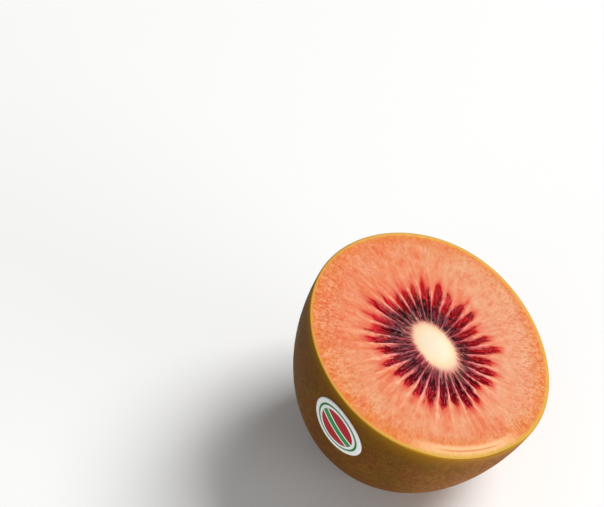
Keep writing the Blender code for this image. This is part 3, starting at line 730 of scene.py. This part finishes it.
seed_marks = {label: [] for label in SEED_MARKS}
room = math.tau / CHAMBERS
for index in range(CHAMBERS):
    start = (index + wall_strays[index]) * room
    end = (index + 1 + wall_strays[(index + 1) % CHAMBERS]) * room
    middle = (start + end) / 2
    ripeness = 0.5 + 0.5 * math.cos(middle - RIPE_SIDE)
    for reach in SEED_REACHES:
        seed_marks["share"].append(reach + index % 2 * SEED_STAGGER + draw.uniform(-SEED_WANDER, SEED_WANDER))
        seed_marks["angle"].append(middle)
        seed_marks["turn"].append(draw.uniform(-SEED_TURN, SEED_TURN))
        seed_marks["dip"].append(draw.uniform(-SEED_DIP, SEED_DIP))
        seed_marks["roll"].append(draw.uniform(-SEED_ROLL, SEED_ROLL))
        seed_marks["sink"].append(SEED_SINK[0] + (SEED_SINK[1] - SEED_SINK[0]) * ripeness)
places = [(0, 0, 0)] * len(seed_marks["share"])
seeds = grow("kiwi_seeds", marked_points("seed_marks", places, seed_marks), seed_rule, {"Seed Coat": coat})
seeds.data.transform(stands)
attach(seeds, "root")

# A seed's coat is hard and smooth, nearly black and brown in places, and it gives small soft glints.
# Its pits are under 0.1 mm wide, too fine to show, so they are drawn 0.25 mm wide.
node, own = start_material(coat)
browning = node(NOISE, {"Vector": own, "Scale": 1 / 1.2, "Detail": 1.0})
pits = node(NOISE, {"Vector": own, "Scale": 1 / 0.25, "Detail": 2.0})
relief = node("ShaderNodeBump", {"Strength": 0.5, "Distance": 0.00004, "Height": pits})
node("ShaderNodeOutputMaterial", {"Surface": node("ShaderNodeBsdfPrincipled", {
    "Base Color": node(RAMP, browning, stops=((0.35, "190b0e"), (0.6, "2b1016"), (0.75, "441c26"))),
    "Roughness": 0.42,
    "IOR": 1.45,
    "Specular IOR Level": 0.10,
    "Normal": relief,
})})

# At the blossom end, what is left of the flower: dry brown styles, short and bent every way, that grew from
# the woody nub and still stand on it.
STYLES = 34
STYLE_LENGTH = 0.0009
STYLE_RADIUS = 0.00007
STYLE_THINNING = 0.35
STYLE_SPREAD = math.radians(62)
STYLE_SIZES = (0.55, 1.0)
STYLE_MARKS = ("angle", "reach", "size")
STYLE_DRAWS = 7
TUFT_RADIUS = 0.8 * NUB_RADIUS
TUFT_FALL = 0.6 * NUB_HEIGHT     # how much lower the tuft's outermost styles stand than its middle ones
dry = bpy.data.materials.new("dry_brown_style")
style_rule, node, given = new_rule("dry_styles", {
    "Style Marks": None, "Length": STYLE_LENGTH, "Radius": STYLE_RADIUS, "Spread": STYLE_SPREAD,
    "Dry Style": dry,
})
stalk = node("GeometryNodeCurveQuadraticBezier", 5, (0, 0, 0), (0, 0, 0.6), (0.35, 0, 1.0))
up_stalk = node("GeometryNodeSplineParameter", out="Factor")
thinning = node(RANGE, up_stalk, 0.0, 1.0, 1.0, STYLE_THINNING)
stalk = node("GeometryNodeSetCurveRadius", {"Curve": stalk, "Radius": thinning})
ring_shape = node("GeometryNodeCurvePrimitiveCircle", {
    "Resolution": 5, "Radius": node(MATH, given["Radius"], given["Length"], operation="DIVIDE"),
})
style = node("GeometryNodeCurveToMesh", {"Curve": stalk, "Profile Curve": ring_shape, "Fill Caps": True})
marks = {label: node(NAMED, label) for label in STYLE_MARKS}
tilt = node(MATH, marks["reach"], given["Spread"], **TIMES)
leaning = node("FunctionNodeEulerToRotation", node(COMBINE, 0.0, tilt, marks["angle"]))
grown_size = node(MATH, marks["size"], given["Length"], **TIMES)
tuft = node("GeometryNodeInstanceOnPoints", {
    "Points": given["Style Marks"], "Instance": style, "Rotation": leaning, "Scale": grown_size,
})
realized = node("GeometryNodeRealizeInstances", tuft)
node("NodeGroupOutput", {"Result": node("GeometryNodeSetMaterial", {
    "Geometry": realized, "Material": given["Dry Style"],
})})

bends = random.Random(STYLE_DRAWS)
style_marks = {label: [] for label in STYLE_MARKS}
places = []
for _ in range(STYLES):
    angle = bends.uniform(0, math.tau)
    reach = math.sqrt(bends.random())
    style_marks["angle"].append(angle)
    style_marks["reach"].append(reach)
    style_marks["size"].append(bends.uniform(*STYLE_SIZES))
    places.append((TUFT_RADIUS * reach * math.cos(angle), TUFT_RADIUS * reach * math.sin(angle),
                   -TUFT_FALL * reach * reach))
styles = grow("blossom_styles", marked_points("style_marks", places, style_marks), style_rule, {
    "Dry Style": dry,
})
pole = Vector((0, 0, -HALF_DEPTH + DIMPLE_DEPTH - NUB_HEIGHT))
styles.data.transform(stands @ Matrix.Translation(pole) @ Matrix.Rotation(math.pi, 4, "X"))
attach(styles, "root")

# Dead plant fibre, dried on the fruit: dull brown, darker in places, without any shine.
node, own = start_material(dry)
browning = node(NOISE, {"Vector": own, "Scale": 1 / 0.3, "Detail": 2.0})
node("ShaderNodeOutputMaterial", {"Surface": node("ShaderNodeBsdfPrincipled", {
    "Base Color": node(RAMP, browning, stops=((0.3, "482f17"), (0.7, "866336"))),
    "Roughness": 0.85,
    "IOR": 1.45,
    "Specular IOR Level": 0.2,
})})

# The label is a small oval of coated paper with a glue back. It is stuck to the skin just below the rim, and
# its print is a plain one: a green line round the edge, and a red oval crossed by a green band.
LABEL_ANGLE = math.radians(151.4)
LABEL_DEPTH = 0.0067
LABEL_TURN = math.radians(23)
LABEL_RADII = (0.0058, 0.0046)
LABEL_THICKNESS = 0.00012
LABEL_GLUE = 0.00004
LABEL_SIDES = 96
LABEL_RINGS = 20

outward_way = Vector((math.cos(LABEL_ANGLE), math.sin(LABEL_ANGLE) * SHORT_RADIUS / LONG_RADIUS, 0))
outward_way = stands.to_3x3() @ outward_way
on_axis = stands @ Vector((0, 0, -LABEL_DEPTH))
_, label_middle, label_normal, _ = body.ray_cast(on_axis, outward_way)
fruit_axis = stands.to_3x3() @ Vector((0, 0, 1))
around = fruit_axis.cross(label_normal).normalized()
long_way = Matrix.Rotation(-LABEL_TURN, 3, label_normal) @ around
short_way = label_normal.cross(long_way)
shape = bmesh.new()
print_map = shape.loops.layers.uv.new("print")
rings = [[shape.verts.new((0, 0, 0))]]
for ring in range(1, LABEL_RINGS + 1):
    share = ring / LABEL_RINGS
    rings.append([])
    for side in range(LABEL_SIDES):
        angle = math.tau * side / LABEL_SIDES
        rings[ring].append(shape.verts.new((share * math.cos(angle), share * math.sin(angle), 0)))
for side in range(LABEL_SIDES):
    next_side = (side + 1) % LABEL_SIDES
    shape.faces.new((rings[0][0], rings[1][side], rings[1][next_side]))
    for inner, outer in zip(rings[1:], rings[2:]):
        shape.faces.new((inner[side], outer[side], outer[next_side], inner[next_side]))
for face in shape.faces:
    face.smooth = True
    for corner in face.loops:
        corner[print_map].uv = (0.5 + 0.5 * corner.vert.co.x, 0.5 + 0.5 * corner.vert.co.y)
for vertex in shape.verts:
    above = (label_middle + long_way * vertex.co.x * LABEL_RADII[0] + short_way * vertex.co.y * LABEL_RADII[1]
             + label_normal * SHORT_RADIUS / 2)
    _, landed, normal, _ = body.ray_cast(above, -label_normal)
    vertex.co = landed + normal * LABEL_GLUE
label_mesh = bpy.data.meshes.new("paper_label")
shape.to_mesh(label_mesh)
shape.free()
label = bpy.data.objects.new("paper_label", label_mesh)
bpy.context.scene.collection.objects.link(label)
paper = label.modifiers.new("paper", "SOLIDIFY")
paper.thickness = LABEL_THICKNESS
paper.offset = 1
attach(label, "root")
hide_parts("fruit_label")

# Coated paper, printed flat: white with even colours and a low gloss, and faint creases where it bends.
print_paper = bpy.data.materials.new("printed_coated_paper")
node, own = start_material(print_paper)
print_place = node(VECTOR, node("ShaderNodeUVMap", uv_map="print"), (0.5, 0.5, 0), operation="SUBTRACT")
from_middle = node(MATH, node(VECTOR, print_place, operation="LENGTH"), 2.0, **TIMES)
rings_colour = node(RAMP, from_middle, stops=(
    (0.0, "b3121c"), (0.655, "b3121c"), (0.675, "f8f8f6"), (0.755, "f8f8f6"), (0.77, "1a7d3a"),
    (0.83, "1a7d3a"), (0.845, "f8f8f6"),
))
from_band = node(MATH, node(SEPARATE, print_place, out="Y"), operation="ABSOLUTE")
band_colour = node(RAMP, from_band, stops=(
    (0.0, "2c9440"), (0.060, "2c9440"), (0.066, "f8f8f6"), (0.092, "f8f8f6"), (0.098, "b3121c"),
))
in_oval = node(MATH, from_middle, 0.66, operation="LESS_THAN")
creases = node(NOISE, {"Vector": own, "Scale": 1 / 2.5, "Detail": 2.0})
relief = node("ShaderNodeBump", {"Strength": 0.4, "Distance": 0.0001, "Height": creases})
node("ShaderNodeOutputMaterial", {"Surface": node("ShaderNodeBsdfPrincipled", {
    "Base Color": node(MIX, in_oval, rings_colour, band_colour, data_type="RGBA"),
    "Roughness": 0.45,
    "IOR": 1.48,
    "Specular IOR Level": 0.2,
    "Normal": relief,
})})
label_mesh.materials.append(print_paper)

# The floor is a wide sheet of matte white board, laid flat under the fruit. It scatters light every way, so
# the fruit's shadow stays soft and pale.
BOARD_HALF_WIDTH = 3.0
board = bpy.data.meshes.new("studio_board")
shape = bmesh.new()
bmesh.ops.create_grid(shape, x_segments=1, y_segments=1, size=BOARD_HALF_WIDTH)
shape.to_mesh(board)
shape.free()
floor = bpy.data.objects.new("studio_board", board)
bpy.context.scene.collection.objects.link(floor)
white = bpy.data.materials.new("matte_white_board")
white.use_nodes = True
board_surface = white.node_tree.nodes["Principled BSDF"].inputs
board_surface["Base Color"].default_value = linear("fcfcfb")
board_surface["Roughness"].default_value = 0.9
board_surface["Specular IOR Level"].default_value = 0.1
board.materials.append(white)

# Soft studio light: a wide window of light from the right and above, a weak fill from the front right, a
# weaker one from the left, and a pale room. Each lamp's place is from the middle of the cut face.
ROOM_LIGHT = 0.22
scene = bpy.context.scene
face_middle = stands.translation
for name, size, power, place in (
    ("key_light", 1.80, 134.0, Vector((2.25, 0.80, 2.80))),
    ("fill_light", 0.50, 5.0, Vector((0.72, -0.42, 0.06))),
    ("side_light", 0.50, 2.0, Vector((-0.60, -0.75, 0.04))),
):
    lamp = bpy.data.lights.new(name, "AREA")
    lamp.shape = "SQUARE"
    lamp.size = size
    lamp.energy = power
    light = bpy.data.objects.new(name, lamp)
    light.location = face_middle + place
    light.rotation_mode = "QUATERNION"
    light.rotation_quaternion = (-place).to_track_quat("-Z", "Y")
    scene.collection.objects.link(light)
pale_room = bpy.data.worlds.new("pale_room")
pale_room.use_nodes = True
pale_room.node_tree.nodes["Background"].inputs["Color"].default_value = (1, 1, 1, 1)
pale_room.node_tree.nodes["Background"].inputs["Strength"].default_value = ROOM_LIGHT
scene.world = pale_room
scene.view_settings.view_transform = "Standard"

# The camera looks down on the cut face from the front, from as far as it takes to see the half at this angle.
# It is turned so that the middle of the face falls on its own pixel, counted from the upper left corner.
PHOTO_WIDTH = 604
PHOTO_HEIGHT = 507
FACE_MIDDLE_PIXEL = (431.9, 340.9)
CAMERA_DISTANCE = 0.330
CAMERA_HEIGHT = math.radians(50.70)
SENSOR_WIDTH = 36
FOCAL_LENGTH = 111.64
NEAREST_SEEN = 0.01
lens = bpy.data.cameras.new("camera")
lens.sensor_width = SENSOR_WIDTH
lens.lens = FOCAL_LENGTH
lens.clip_start = NEAREST_SEEN
camera = bpy.data.objects.new("camera", lens)
scene.collection.objects.link(camera)
away = Vector((0, -math.cos(CAMERA_HEIGHT), math.sin(CAMERA_HEIGHT)))
pixels = lens.lens / lens.sensor_width * PHOTO_WIDTH
off_right = (FACE_MIDDLE_PIXEL[0] - PHOTO_WIDTH / 2) / pixels
off_up = (PHOTO_HEIGHT / 2 - FACE_MIDDLE_PIXEL[1]) / pixels
aim = (-away).to_track_quat("-Z", "Y")
seen_at = Vector((off_right, off_up, -1)).rotation_difference(Vector((0, 0, -1)))
camera.rotation_mode = "QUATERNION"
camera.rotation_quaternion = aim @ seen_at
camera.location = face_middle + away * CAMERA_DISTANCE
scene.camera = camera
